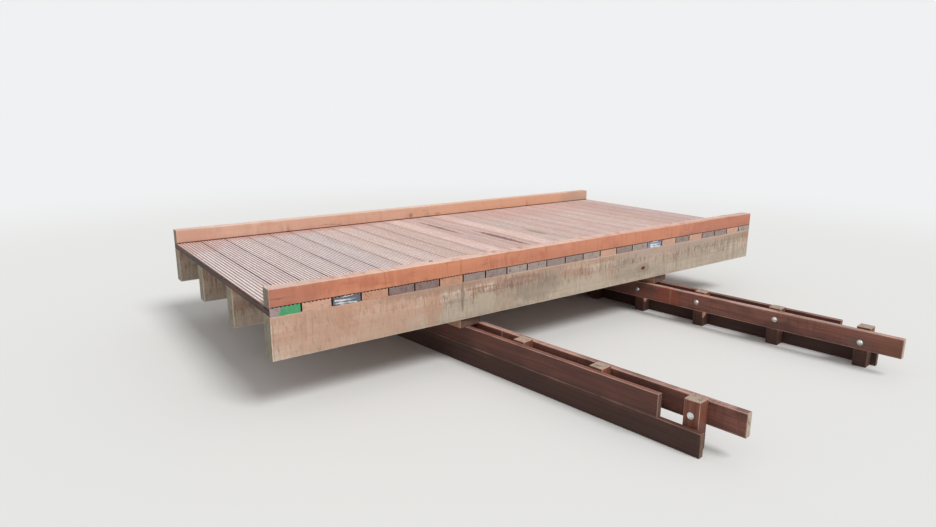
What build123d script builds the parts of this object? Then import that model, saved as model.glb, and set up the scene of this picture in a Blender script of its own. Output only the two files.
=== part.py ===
from build123d import *
from math import cos, radians, tan
import os

# Small timber vehicle bridge over a ditch, with the timber walls that hold both banks.
# Millimetres. X runs along the bridge, Y across it and +Z up. The origin is the bottom centre
# of the whole object: under the middle of the deck, at the level of the water.

# Deck of ribbed planks
deck_length = 5240
deck_width = 2500
plank_width = 200
plank_thickness = 60
plank_gap = 10
ridge_count = 8
ridge_pitch = 26.6
groove_radius = 7
groove_depth = 5

# Kerbs along both sides of the deck
kerb_width = 100
kerb_height = 120

# Girders under the deck
girder_count = 4
girder_width = 120
girder_height = 290

# Bearing sills that the girders rest on
sill_width = 200
sill_height = 75
sill_end_setback = 20

# Walls of both banks: wales in front, piles behind them, boards behind the piles
bank_skew = 7.25
channel_width = 1955
channel_offset = -85
wall_height = 300
wale_thickness = 50
wale_height = 150
wale_end_overhang = 280
wale_joint_overhang = 350
wale_joint_gap = 3
board_thickness = 40
lower_board_height = 150
lower_board_overhang = 90
upper_board_overhang = -190

# Square piles, the middle ones under the bridge and the wing ones beside it
pile_size = 100
middle_pile_count = 5
middle_pile_spacing = 552
wing_pile_count = 3
wing_pile_spacing = 668
wing_pile_lead = 612
wing_pile_rise = 15

# Bevels on the sawn edges
plank_bevel = 2
timber_bevel = 3
pile_bevel = 4

# Spacings and levels that follow from the sizes above
plank_count = round((deck_length + plank_gap) / (plank_width + plank_gap))
plank_pitch = (deck_length - plank_width) / (plank_count - 1)
girder_spacing = (deck_width - girder_width) / (girder_count - 1)
kerb_spacing = deck_width - kerb_width
girder_level = wall_height + sill_height
deck_level = girder_level + girder_height
kerb_level = deck_level + plank_thickness

# Places along a bank's wall, counted from the middle of the bridge
last_middle_pile = middle_pile_spacing * (middle_pile_count - 1) / 2
wale_joint = last_middle_pile + wale_joint_overhang
first_wing_pile = last_middle_pile + wing_pile_lead
last_wing_pile = first_wing_pile + wing_pile_spacing * (wing_pile_count - 1)
wall_end = last_wing_pile + wale_end_overhang

# Depths behind the wale's face
pile_depth = wale_thickness + pile_size / 2
board_depth = wale_thickness + pile_size + board_thickness / 2
sill_depth = wale_thickness + sill_width / 2

os.makedirs("parts", exist_ok=True)


def finish(part, name):
    """Label a finished piece and write it to its own file."""
    part.label = name
    export_step(part, f"parts/{name}.step")
    size = part.bounding_box().size
    print(f"{name}: {size.X:.1f} x {size.Y:.1f} x {size.Z:.1f} mm, {part.volume / 1e6:.2f} litres")


def evenly_spaced(spacing, count):
    """Places of a row of like pieces, the same distance apart and centred on zero."""
    return [spacing * (index - (count - 1) / 2) for index in range(count)]


def deck_plank(name, x):
    """A plank across the bridge, with rounded grooves along its top that leave ridges between them."""
    end_plane = Plane(origin=(x, deck_width / 2, deck_level), x_dir=(1, 0, 0), z_dir=(0, -1, 0))
    with BuildPart() as plank:
        with BuildSketch(end_plane) as profile:
            Rectangle(plank_width, plank_thickness, align=(Align.CENTER, Align.MIN))
            chamfer(profile.vertices(), length=plank_bevel)
            with Locations((0, plank_thickness - groove_depth + groove_radius)):
                with GridLocations(ridge_pitch, plank_thickness, ridge_count - 1, 1):
                    Circle(groove_radius, mode=Mode.SUBTRACT)
        extrude(amount=deck_width)
    finish(plank.part, name)


def bridge_timber(name, y, level, width, height):
    """A squared timber as long as the deck, lying along it, its four long edges bevelled."""
    end_plane = Plane(origin=(-deck_length / 2, y, level), x_dir=(0, 1, 0), z_dir=(1, 0, 0))
    with BuildPart() as timber:
        with BuildSketch(end_plane) as profile:
            Rectangle(width, height, align=(Align.CENTER, Align.MIN))
            chamfer(profile.vertices(), length=timber_bevel)
        extrude(amount=deck_length)
    finish(timber.part, name)


def bank_plane(side):
    """The plane of one bank: local X points into the bank, local Y runs along its wall."""
    face_x = channel_offset + side * channel_width / 2 / cos(radians(bank_skew))
    into_bank = Vector(side, 0, 0).rotate(Axis.Z, bank_skew)
    return Plane(origin=(face_x, 0, 0), x_dir=into_bank, z_dir=(0, 0, 1))


def wall_timber(name, bank, depth, start, end, level, thickness, height):
    """A squared timber of a bank's wall, from one place along it to another, its long edges bevelled."""
    with BuildPart() as timber:
        with BuildSketch(bank.offset(level)):
            with Locations((depth, (start + end) / 2)):
                Rectangle(thickness, end - start)
        extrude(amount=height)
        chamfer(timber.edges().group_by(SortBy.LENGTH)[-1], length=timber_bevel)
    finish(timber.part, name)


def pile_row(name, bank):
    """The square piles of one bank: level with the wale under the sill, a little higher beside the bridge."""
    middle = evenly_spaced(middle_pile_spacing, middle_pile_count)
    wing = [first_wing_pile + wing_pile_spacing * index for index in range(wing_pile_count)]
    with BuildPart() as piles:
        with BuildSketch(bank):
            with Locations([(pile_depth, place) for place in middle]):
                Rectangle(pile_size, pile_size)
        extrude(amount=wall_height)
        with BuildSketch(bank):
            with Locations([(pile_depth, place * end) for end in (-1, 1) for place in wing]):
                Rectangle(pile_size, pile_size)
        extrude(amount=wall_height + wing_pile_rise)
        chamfer(piles.faces().group_by(Axis.Z)[-1].edges(), length=pile_bevel)
    finish(piles.part, name)


# The deck, from the left end of the bridge to the right
for index, plank_x in enumerate(evenly_spaced(plank_pitch, plank_count)):
    deck_plank(f"deck_plank_{index + 1:02d}", plank_x)

for name, kerb_y in zip(("kerb_near", "kerb_far"), evenly_spaced(kerb_spacing, 2)):
    bridge_timber(name, kerb_y, kerb_level, kerb_width, kerb_height)

for index, girder_y in enumerate(evenly_spaced(girder_spacing, girder_count)):
    bridge_timber(f"girder_{index + 1}", girder_y, girder_level, girder_width, girder_height)

# Both banks: the right bank is the left one turned half round
for bank_name, side in (("left", -1), ("right", 1)):
    bank = bank_plane(side)

    # The skew moves the sill's middle along the wall, so that it stays under the middle of the deck
    slope = tan(radians(bank_skew))
    sill_reach = (deck_width / 2 - sill_end_setback) / cos(radians(bank_skew)) - sill_width / 2 * slope
    sill_middle = -sill_depth * slope
    wall_timber(
        f"bearing_sill_{bank_name}", bank, sill_depth, sill_middle - sill_reach, sill_middle + sill_reach,
        wall_height, sill_width, sill_height,
    )

    # Local Y runs away from the near side on the right bank and towards it on the left one
    wing_names = ("near", "far") if side > 0 else ("far", "near")
    for wale_name, start, end in (
        (wing_names[0], -wall_end, -wale_joint - wale_joint_gap / 2),
        ("middle", -wale_joint + wale_joint_gap / 2, wale_joint - wale_joint_gap / 2),
        (wing_names[1], wale_joint + wale_joint_gap / 2, wall_end),
    ):
        wall_timber(
            f"wale_{bank_name}_{wale_name}", bank, wale_thickness / 2, start, end,
            wall_height - wale_height, wale_thickness, wale_height,
        )

    pile_row(f"piles_{bank_name}", bank)

    for board_name, overhang, level, height in (
        ("lower", lower_board_overhang, 0, lower_board_height),
        ("upper", upper_board_overhang, lower_board_height, wall_height - lower_board_height),
    ):
        board_end = last_wing_pile + overhang
        wall_timber(
            f"bank_board_{bank_name}_{board_name}", bank, board_depth, -board_end, board_end,
            level, board_thickness, height,
        )
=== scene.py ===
"""Looks of a small timber vehicle bridge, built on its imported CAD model.

Metres. X runs along the bridge, Y across it and +Z up. The origin is under the middle of the deck,
at its lowest level.
"""

import logging
import math
import random
from dataclasses import dataclass, field, replace
from enum import Enum
from functools import cache, reduce

import bmesh
import bpy
from mathutils import Matrix, Vector, noise


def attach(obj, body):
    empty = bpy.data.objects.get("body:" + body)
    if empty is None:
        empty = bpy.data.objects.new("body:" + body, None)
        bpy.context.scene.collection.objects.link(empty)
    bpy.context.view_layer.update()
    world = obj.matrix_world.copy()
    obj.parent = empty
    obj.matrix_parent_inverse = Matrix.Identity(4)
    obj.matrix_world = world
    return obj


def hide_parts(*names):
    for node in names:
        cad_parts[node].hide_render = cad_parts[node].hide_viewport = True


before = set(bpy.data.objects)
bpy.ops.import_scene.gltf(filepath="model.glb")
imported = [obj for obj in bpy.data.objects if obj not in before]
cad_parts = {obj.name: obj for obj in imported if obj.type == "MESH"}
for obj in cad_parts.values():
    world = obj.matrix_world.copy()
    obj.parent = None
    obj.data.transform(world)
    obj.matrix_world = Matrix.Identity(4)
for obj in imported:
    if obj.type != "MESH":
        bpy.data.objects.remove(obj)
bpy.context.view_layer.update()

# Attributes of every timber's mesh, which the finishes read
PLACE = "timber_place"
HALF_SIZE = "timber_half_size"
SEED = "timber_seed"
TONE = "timber_tone"

# The angle of both banks' walls to the bridge's own Y axis
BANK_SKEW = math.radians(7.25)

# The axes by number
X = 0
Y = 1
Z = 2

# Two places closer than this are the same place, and a cut is ten times as exact
TOUCH = 1e-5
CUT_TOUCH = TOUCH / 10

# How high the relief of a finish stands at most, and how much of it the shading shows
RELIEF_DEPTH = 0.0008
RELIEF_STRENGTH = 0.75

# Faces that meet at less than these angles are one flat face, or are shaded as one rounded surface
FLAT = math.radians(1)
ROUNDED = math.radians(40)

# A face looks along an axis when its normal reaches further along it than this
LOOKS_ALONG = 0.9

Colour = tuple[float, float, float, float]
Triple = tuple[float, float, float]
Socket = bpy.types.NodeSocket
log = logging.getLogger("timber_bridge")


def srgb(red: int, green: int, blue: int) -> Colour:
    """Turn a colour as it looks on a screen into the linear colour that the shaders take.

    Args:
        red: Red level, 0 to 255.
        green: Green level, 0 to 255.
        blue: Blue level, 0 to 255.

    Returns:
        The linear colour, with full alpha.
    """
    levels = [level / 255 for level in (red, green, blue)]
    linear = [s / 12.92 if s <= 0.04045 else ((s + 0.055) / 1.055) ** 2.4 for s in levels]
    return (*linear, 1.0)


def spaced(values: dict[str, object]) -> dict[str, object]:
    """Write the names of sockets with spaces in place of underscores."""
    return {name.replace("_", " "): value for name, value in values.items()}


class Graph:
    """A node tree that is filled from left to right, each node linked as it is made."""

    def __init__(self, tree: bpy.types.NodeTree) -> None:
        """Start in an empty tree."""
        self.tree = tree
        self.tree.nodes.clear()

    def node(self, kind: str, inputs: dict | None = None, **options: object) -> bpy.types.Node:
        """Add a node.

        Args:
            kind: Blender's name of the node type, without its "ShaderNode" prefix.
            inputs: Values or sockets by input name or number.
            **options: The node's own settings.

        Returns:
            The new node.
        """
        made = self.tree.nodes.new(kind if kind.startswith("NodeGroup") else f"ShaderNode{kind}")
        for option, value in options.items():
            setattr(made, option, value)
        for socket, value in (inputs or {}).items():
            self.feed(made.inputs[socket], value)
        return made

    def feed(self, socket: Socket, value: object) -> None:
        """Link an input to another node's output, or set its value.

        Args:
            socket: The input.
            value: The other node's output, or a plain value.
        """
        if isinstance(value, Socket):
            self.tree.links.new(value, socket)
        else:
            socket.default_value = value

    def math(self, operation: str, *values: object) -> Socket:
        """Work out one number from one to three others."""
        return self.node("Math", dict(enumerate(values)), operation=operation).outputs[0]

    def times(self, *values: object) -> Socket:
        """Multiply one or more numbers."""
        return reduce(lambda product, value: self.math("MULTIPLY", product, value), values)

    def inverse(self, value: object) -> Socket:
        """One less the value: what a mask leaves out."""
        return self.math("SUBTRACT", 1.0, value)

    def vector_math(self, operation: str, *values: object) -> Socket:
        """Work out one vector from one or two others."""
        return self.node("VectorMath", dict(enumerate(values)), operation=operation).outputs[0]

    def scale(self, vector: object, factor: object) -> Socket:
        """Make a vector longer by one factor."""
        return self.node("VectorMath", {0: vector, "Scale": factor}, operation="SCALE").outputs[0]

    def length(self, vector: object) -> Socket:
        """The length of a vector."""
        return self.node("VectorMath", {0: vector}, operation="LENGTH").outputs["Value"]

    def split(self, vector: object) -> tuple[Socket, ...]:
        """Take a vector apart into its X, Y and Z."""
        return tuple(self.node("SeparateXYZ", {0: vector}).outputs)

    def join(self, x: object, y: object, z: object) -> Socket:
        """Put a vector together from its X, Y and Z."""
        return self.node("CombineXYZ", {0: x, 1: y, 2: z}).outputs[0]

    def fade(self, value: object, start: object, end: object) -> Socket:
        """Rise smoothly from 0 to 1 while a value goes from start to end."""
        inputs = {"Value": value, "From Min": start, "From Max": end}
        return self.node("MapRange", inputs, interpolation_type="SMOOTHSTEP").outputs[0]

    def noise(
        self, place: object, fineness: float | Triple, detail: float = 2.0, warp: float = 0.0,
    ) -> Socket:
        """Cloudy noise, from 0 to 1, about 0.5 in the middle.

        Args:
            place: Where the noise is read.
            fineness: Clouds per metre, or one such number for each axis.
            detail: How many finer layers lie on the first.
            warp: How much the clouds are drawn out of shape.

        Returns:
            The noise.
        """
        axes = fineness if isinstance(fineness, tuple) else (fineness,) * 3
        inputs = {"Vector": self.vector_math("MULTIPLY", place, axes), "Scale": 1.0}
        return self.node("TexNoise", {**inputs, "Detail": detail, "Distortion": warp}).outputs[0]

    def highest(self, value: object, share: object, below: float = 0.06, above: float = 0.16) -> Socket:
        """Let the highest part of a noise through, and more of it with a larger share."""
        threshold = self.inverse(share)
        return self.fade(value, self.math("SUBTRACT", threshold, below), self.math("ADD", threshold, above))

    def hairline(self, value: object, width: float) -> Socket:
        """Thin lines where a noise passes its middle value."""
        off_line = self.math("ABSOLUTE", self.math("SUBTRACT", value, 0.5))
        return self.inverse(self.fade(off_line, width / 4, width))

    def mix(self, share: object, first: object, second: object, blend: str = "MIX") -> Socket:
        """Lay a share of the second colour on the first."""
        inputs = {0: share, 6: first, 7: second}
        return self.node("Mix", inputs, data_type="RGBA", blend_type=blend).outputs[2]

    def lay(self, wood: object, colour: object, *strength: object) -> Socket:
        """Lay a colour on the wood, as strongly as all the given masks and numbers multiplied."""
        return self.mix(self.times(*strength), wood, colour)

    def sink(self, *marks: tuple[Socket, float]) -> Socket:
        """Work out the height of a surface with marks in it.

        Args:
            *marks: Each mark's mask, and how deep it is.

        Returns:
            The height.
        """
        height = 0.0
        for mask, depth in marks:
            height = self.math("MULTIPLY_ADD", mask, -depth, height)
        return height

    def attribute(self, name: str, output: str) -> Socket:
        """Read one of the mesh's attributes."""
        return self.node("Attribute", attribute_name=name).outputs[output]

    def effect(self, group: bpy.types.NodeTree, own: dict, **inputs: object) -> bpy.types.NodeOutputs:
        """Place a shader node group, with what all effects of a timber share and its own inputs."""
        return self.node("Group", {**own, **spaced(inputs)}, node_tree=group).outputs

    def skin(self, colour: Socket, roughness: Socket, height: Socket, **uniform: float) -> None:
        """End a material in one shader.

        Args:
            colour: The base colour.
            roughness: The roughness.
            height: The height of the surface's own relief.
            **uniform: Values of the shader's other inputs, which are the same all over.
        """
        relief = {"Height": height, "Distance": RELIEF_DEPTH, "Strength": RELIEF_STRENGTH}
        bump = self.node("Bump", relief).outputs[0]
        inputs = {"Base Color": colour, "Roughness": roughness, "Normal": bump, **spaced(uniform)}
        self.node("OutputMaterial", {"Surface": self.node("BsdfPrincipled", inputs).outputs[0]})


class Effect(Graph):
    """A shader node group with named sockets, which puts out masks only."""

    def __init__(self, name: str, vectors: list[str], numbers: list[str], masks: list[str]) -> None:
        """Make the group and its sockets.

        Args:
            name: The group's name.
            vectors: Names of the vector inputs.
            numbers: Names of the number inputs.
            masks: Names of the outputs, all numbers.
        """
        super().__init__(bpy.data.node_groups.new(name, "ShaderNodeTree"))
        sockets = [(label, "INPUT", "NodeSocketVector") for label in vectors]
        sockets += [(label, "INPUT", "NodeSocketFloat") for label in numbers]
        sockets += [(label, "OUTPUT", "NodeSocketFloat") for label in masks]
        for label, direction, kind in sockets:
            self.tree.interface.new_socket(label, in_out=direction, socket_type=kind)
        self.given = self.node("NodeGroupInput").outputs
        self.result = self.node("NodeGroupOutput").inputs

    def seeded(self) -> Socket:
        """The timber's own coordinates, moved to another part of the pattern for each timber."""
        shift = self.scale((37.1, 17.3, 29.9), self.given["Seed"])
        return self.vector_math("ADD", self.given["Place"], shift)

    def put_out(self, **masks: Socket) -> bpy.types.NodeTree:
        """Link the masks to the group's outputs.

        Args:
            **masks: The masks by the names of the outputs.

        Returns:
            The finished group.
        """
        for name, mask in masks.items():
            self.feed(self.result[name], mask)
        return self.tree


@cache
def wood_figure() -> bpy.types.NodeTree:
    """Streaks, broad bands and pores that run along the grain.

    Returns:
        The node group.
    """
    group = Effect("wood_figure", ["Place"], ["Seed", "Fineness", "Waviness"], ["Streaks", "Bands", "Pores"])
    place = group.seeded()
    sway = group.math("SUBTRACT", group.noise(place, 1.7), 0.5)
    sway = group.times(sway, group.given["Waviness"])
    place = group.vector_math("ADD", place, group.join(0.0, sway, sway))
    fine = group.scale(place, group.given["Fineness"])
    return group.put_out(
        Streaks=group.fade(group.noise(fine, (1.3, 70.0, 70.0), detail=5.0, warp=0.3), 0.38, 0.66),
        Bands=group.fade(group.noise(fine, (0.4, 9.0, 9.0), detail=3.0), 0.3, 0.7),
        Pores=group.fade(group.noise(fine, (28.0, 520.0, 520.0), detail=1.0), 0.56, 0.7),
    )


@cache
def saw_marks() -> bpy.types.NodeTree:
    """Short marks that the saw left across the grain, in patches.

    Returns:
        The node group.
    """
    group = Effect("saw_marks", ["Place"], ["Seed", "Spacing", "Length", "Cover"], ["Marks"])
    place = group.seeded()
    x, y, z = group.split(place)
    slant = group.math("MULTIPLY_ADD", z, 0.09, x)
    step = group.math("DIVIDE", slant, group.given["Spacing"])
    down = group.math("DIVIDE", group.math("ADD", y, z), group.given["Length"])
    lines = group.noise(group.join(step, down, group.given["Seed"]), 1.0, detail=3.0)
    patches = group.noise(place, (2.2, 6.0, 6.0), detail=4.0, warp=0.5)
    patchy = group.highest(patches, group.given["Cover"], below=0.14, above=0.12)
    return group.put_out(Marks=group.times(group.fade(lines, 0.48, 0.7), patchy))


@cache
def water_runs() -> bpy.types.NodeTree:
    """Soft marks of rain that ran down across the grain, in patches.

    Returns:
        The node group.
    """
    group = Effect("water_runs", ["Place"], ["Seed", "Width", "Cover"], ["Mask"])
    place = group.seeded()
    x, y, z = group.split(place)
    step = group.math("DIVIDE", x, group.given["Width"])
    down = group.times(group.math("ADD", y, z), 2.5)
    lines = group.noise(group.join(step, down, 0.0), 1.0, detail=3.0)
    patchy = group.highest(group.noise(place, (1.7, 3.0, 3.0), detail=3.0), group.given["Cover"])
    return group.put_out(Mask=group.times(group.fade(lines, 0.46, 0.7), patchy))


@cache
def stains() -> bpy.types.NodeTree:
    """Soft-edged stains, a little longer along the grain than across it.

    Returns:
        The node group.
    """
    group = Effect("stains", ["Place"], ["Seed", "Size", "Cover"], ["Mask"])
    size = group.given["Size"]
    scaled = group.vector_math("DIVIDE", group.seeded(), group.join(size, size, size))
    clouds = group.noise(scaled, (0.55, 1.0, 1.0), detail=5.0, warp=0.6)
    return group.put_out(Mask=group.highest(clouds, group.given["Cover"]))


@cache
def knots() -> bpy.types.NodeTree:
    """Now and then a knot, with a darker rim and the grain crowded round it.

    Returns:
        The node group.
    """
    group = Effect("knots", ["Place"], ["Seed", "Spacing", "Radius"], ["Core", "Halo"])
    spacing = group.given["Spacing"]
    place = group.vector_math("MULTIPLY", group.seeded(), (0.55, 1.0, 1.0))
    cells = group.vector_math("DIVIDE", place, group.join(spacing, spacing, spacing))
    nearest = group.node("TexVoronoi", {"Vector": cells, "Scale": 1.0}, voronoi_dimensions="3D")
    edge = group.math("ADD", group.math("DIVIDE", group.given["Radius"], spacing), 0.06)
    rough = group.math("MULTIPLY_ADD", group.noise(cells, 9.0), 0.12, nearest.outputs["Distance"])
    return group.put_out(
        Core=group.inverse(group.fade(rough, group.times(edge, 0.6), edge)),
        Halo=group.inverse(group.fade(rough, edge, group.times(edge, 2.6))),
    )


@cache
def drying_cracks() -> bpy.types.NodeTree:
    """Thin dark cracks along the grain, where the timber has dried.

    Returns:
        The node group.
    """
    group = Effect("drying_cracks", ["Place"], ["Seed", "Cover"], ["Cracks"])
    place = group.seeded()
    lines = group.hairline(group.noise(place, (1.1, 30.0, 30.0), warp=0.4), width=0.014)
    patches = group.noise(place, (1.4, 7.0, 7.0))
    patchy = group.highest(patches, group.given["Cover"], below=0.0, above=0.05)
    return group.put_out(Cracks=group.times(lines, patchy))


@cache
def arris_band() -> bpy.types.NodeTree:
    """A band along the edges of a squared timber, with an uneven inner border, where wear and a painted
    highlight are laid.

    Returns:
        The node group.
    """
    group = Effect("arris_band", ["Place", "Half size"], ["Seed", "Reach"], ["Wear"])
    outward = group.vector_math("ABSOLUTE", group.given["Place"])
    x, y, z = group.split(group.vector_math("SUBTRACT", group.given["Half size"], outward))
    lower = group.math("MINIMUM", y, z)
    upper = group.math("MAXIMUM", y, z)
    distance = group.math("MAXIMUM", lower, group.math("MINIMUM", upper, x))
    ragged = group.noise(group.seeded(), (8.0, 20.0, 20.0), detail=3.0)
    uneven = group.math("MULTIPLY_ADD", ragged, 2.4, -0.2)
    reach = group.times(group.given["Reach"], uneven)
    return group.put_out(Wear=group.inverse(group.fade(distance, 0.0, reach)))


@cache
def end_grain() -> bpy.types.NodeTree:
    """Growth rings, radial cracks, saw lines and speckles of a sawn end.

    Returns:
        The node group.
    """
    masks = ["Rings", "Cracks", "Saw", "Speckles"]
    group = Effect("end_grain", ["Place", "Pith"], ["Seed", "Ring width"], masks)
    shifted = group.seeded()
    off_pith = group.split(group.vector_math("SUBTRACT", group.given["Place"], group.given["Pith"]))
    wobble = group.times(group.noise(shifted, 14.0, detail=3.0), 0.02)
    radius = group.math("ADD", group.length(group.join(0.0, *off_pith[1:])), wobble)
    turn = group.math("ARCTAN2", off_pith[2], off_pith[1])
    rings = group.math("DIVIDE", group.times(radius, math.tau), group.given["Ring width"])
    around = group.join(turn, radius, group.given["Seed"])
    spokes = group.hairline(group.noise(around, (13.0, 2.5, 40.0), detail=1.0), width=0.035)
    patchy = group.fade(group.noise(shifted, 24.0), 0.5, 0.58)
    return group.put_out(
        Rings=group.fade(group.math("SINE", rings), -1.0, 1.0),
        Cracks=group.times(spokes, patchy),
        Saw=group.fade(group.noise(shifted, (1.0, 60.0, 420.0)), 0.42, 0.7),
        Speckles=group.fade(group.noise(shifted, 230.0), 0.5, 0.64),
    )


@cache
def soft_spot() -> bpy.types.NodeTree:
    """One soft-edged spot at a known place, with a ragged border.

    Returns:
        The node group.
    """
    group = Effect("soft_spot", ["Place", "Centre", "Half size"], [], ["Mask"])
    away = group.vector_math("SUBTRACT", group.given["Place"], group.given["Centre"])
    distance = group.length(group.vector_math("DIVIDE", away, group.given["Half size"]))
    ragged = group.noise(group.given["Place"], (50.0, 22.0, 22.0), detail=3.0)
    rough = group.math("MULTIPLY_ADD", group.math("SUBTRACT", ragged, 0.5), 1.2, distance)
    return group.put_out(Mask=group.inverse(group.fade(rough, 0.6, 1.1)))


def new_material(name: str) -> tuple[bpy.types.Material, Graph]:
    """Make an empty material.

    Args:
        name: The material's name.

    Returns:
        The material and the graph of its nodes.
    """
    made = bpy.data.materials.new(name)
    made.use_nodes = True
    return made, Graph(made.node_tree)


@dataclass(frozen=True)
class Spot:
    """A spot at a known place on the bridge: a stain, a mark, or a painted patch of light."""

    centre: Triple
    half_size: Triple
    colour: Colour
    strength: float = 0.7


@dataclass(frozen=True)
class TimberFinish:
    """How the long faces of one kind of timber look."""

    name: str
    wood: Colour
    pale: Colour
    streak: Colour
    # Upward faces are paler: partly sun-bleached wood, partly painted light on the tops
    bleached_and_lit: Colour
    stain: Colour
    bleach_and_light: float = 0.8
    streaks: float = 0.5
    fineness: float = 1.0
    waviness: float = 0.03
    saw_cover: float = 0.3
    saw_spacing: float = 0.012
    saw_length: float = 0.07
    saw_colour: Colour = srgb(110, 88, 74)
    saw_strength: float = 0.3
    stain_size: float = 0.25
    stain_cover: float = 0.4
    stain_strength: float = 0.5
    run: Colour = srgb(122, 104, 92)
    run_width: float = 0.03
    run_cover: float = 0.5
    run_strength: float = 0.0
    drift: Colour = srgb(150, 120, 104)
    drift_size: float = 1.2
    drift_cover: float = 0.5
    drift_strength: float = 0.0
    knot_colour: Colour = srgb(84, 56, 42)
    knot_spacing: float = 0.6
    knot_radius: float = 0.0
    knot_halo: float = 0.35
    knot_core: float = 0.85
    crack_cover: float = 0.35
    cracks: float = 0.8
    pores: float = 0.35
    # Pale edges: wear, and a painted highlight along the arrises
    worn: Colour = srgb(232, 205, 184)
    pale_edge_reach: float = 0.006
    pale_edge_strength: float = 0.5
    # Darker towards the bottom, up to a level: damp, and painted shade
    damp_and_shade_level: float = 0.0
    damp_and_shade: Colour = srgb(52, 36, 30)
    damp_and_shade_strength: float = 0.8
    damp_and_shade_wander: float = 0.12
    damp_and_shade_soaked: float = 0.4
    # A darker band at the foot of a kerb: dirt, and painted shade where it stands on the deck
    foot_height: float = 0.0
    foot: Colour = srgb(112, 62, 48)
    pore_depth: float = 0.5
    streak_depth: float = 0.4
    saw_depth: float = 0.8
    crack_depth: float = 2.5
    roughness: float = 0.62
    streak_roughness: float = 0.12
    shine: float = 0.35
    spots: tuple[Spot, ...] = ()

    def material(self) -> bpy.types.Material:
        """Build the material.

        Returns:
            A material that reads the timber's attributes.
        """
        made, graph = new_material(self.name)
        place = graph.attribute(PLACE, "Vector")
        half_size = graph.attribute(HALF_SIZE, "Vector")
        own = {"Place": place, "Seed": graph.attribute(SEED, "Fac")}
        figure = graph.effect(wood_figure(), own, Fineness=self.fineness, Waviness=self.waviness)
        saw_size = {"Spacing": self.saw_spacing, "Length": self.saw_length}
        saw = graph.effect(saw_marks(), own, Cover=self.saw_cover, **saw_size)["Marks"]
        stain = graph.effect(stains(), own, Size=self.stain_size, Cover=self.stain_cover)["Mask"]
        drift = graph.effect(stains(), own, Size=self.drift_size, Cover=self.drift_cover)["Mask"]
        cracks = graph.effect(drying_cracks(), own, Cover=self.crack_cover)["Cracks"]
        wear = graph.effect(arris_band(), own, Half_size=half_size, Reach=self.pale_edge_reach)["Wear"]
        bridge = graph.node("TexCoord").outputs
        upward = graph.fade(graph.split(bridge["Normal"])[2], 0.3, 0.9)

        wood = graph.mix(figure["Bands"], self.wood, self.pale)
        wood = graph.lay(wood, self.drift, drift, self.drift_strength)
        # Paler on upward faces: sun-bleaching, and painted light on the tops
        wood = graph.lay(wood, self.bleached_and_lit, upward, self.bleach_and_light)
        wood = graph.lay(wood, self.streak, figure["Streaks"], self.streaks)
        wood = graph.lay(wood, self.stain, stain, self.stain_strength)
        if self.run_strength:
            runs = graph.effect(water_runs(), own, Width=self.run_width, Cover=self.run_cover)
            wood = graph.lay(wood, self.run, runs["Mask"], self.run_strength)
        wood = graph.lay(wood, self.saw_colour, saw, self.saw_strength)
        if self.knot_radius:
            knot = graph.effect(knots(), own, Spacing=self.knot_spacing, Radius=self.knot_radius)
            wood = graph.lay(wood, self.streak, knot["Halo"], self.knot_halo)
            wood = graph.lay(wood, self.knot_colour, knot["Core"], self.knot_core)
        wood = graph.lay(wood, self.streak, figure["Pores"], self.pores)
        wood = self.with_relief(graph, place, half_size, wood)
        # Pale arrises: wear, and a painted highlight
        wood = graph.lay(wood, self.worn, wear, self.pale_edge_strength)
        wood = graph.lay(wood, self.knot_colour, cracks, self.cracks)
        wood = graph.mix(1.0, wood, graph.attribute(TONE, "Color"), "MULTIPLY")
        wood = self.with_places(graph, bridge["Object"], wood)
        # Darker at the foot: dirt, and painted shade
        if self.foot_height:
            above_foot = graph.math("ADD", graph.split(place)[2], graph.split(half_size)[2])
            foot = graph.inverse(graph.fade(above_foot, self.foot_height / 2, self.foot_height))
            wood = graph.lay(wood, self.foot, foot)

        height = graph.sink(
            (figure["Pores"], self.pore_depth), (figure["Streaks"], self.streak_depth),
            (saw, self.saw_depth), (cracks, self.crack_depth),
        )
        rough = graph.math("MULTIPLY_ADD", figure["Streaks"], self.streak_roughness, self.roughness)
        graph.skin(wood, rough, height, Specular_IOR_Level=self.shine)
        return made

    def with_relief(self, graph: Graph, place: Socket, half_size: Socket, wood: Socket) -> Socket:
        """Colour what lies deeper than the face. A plain timber has no relief."""
        return wood

    def with_places(self, graph: Graph, bridge: Socket, wood: Socket) -> Socket:
        """Darken the timber up to its level of damp and painted shade, and lay the spots on it.

        Args:
            graph: The material's graph.
            bridge: The place on the bridge.
            wood: The colour so far.

        Returns:
            The colour with damp, painted shade and spots.
        """
        if self.damp_and_shade_level:
            ragged = graph.noise(bridge, 5.0, detail=4.0)
            uneven = graph.math("MULTIPLY_ADD", ragged, self.damp_and_shade_wander, -self.damp_and_shade_wander / 2)
            level = graph.math("ADD", graph.split(bridge)[2], uneven)
            # Darker towards the bottom: damp, and painted shade
            damp_and_shaded = graph.inverse(graph.fade(level, self.damp_and_shade_level * self.damp_and_shade_soaked, self.damp_and_shade_level))
            wood = graph.lay(wood, self.damp_and_shade, damp_and_shaded, self.damp_and_shade_strength)
        for spot in self.spots:
            where = {"Place": bridge, "Centre": spot.centre, "Half size": spot.half_size}
            wood = graph.lay(wood, spot.colour, graph.effect(soft_spot(), where)["Mask"], spot.strength)
        return wood


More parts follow.
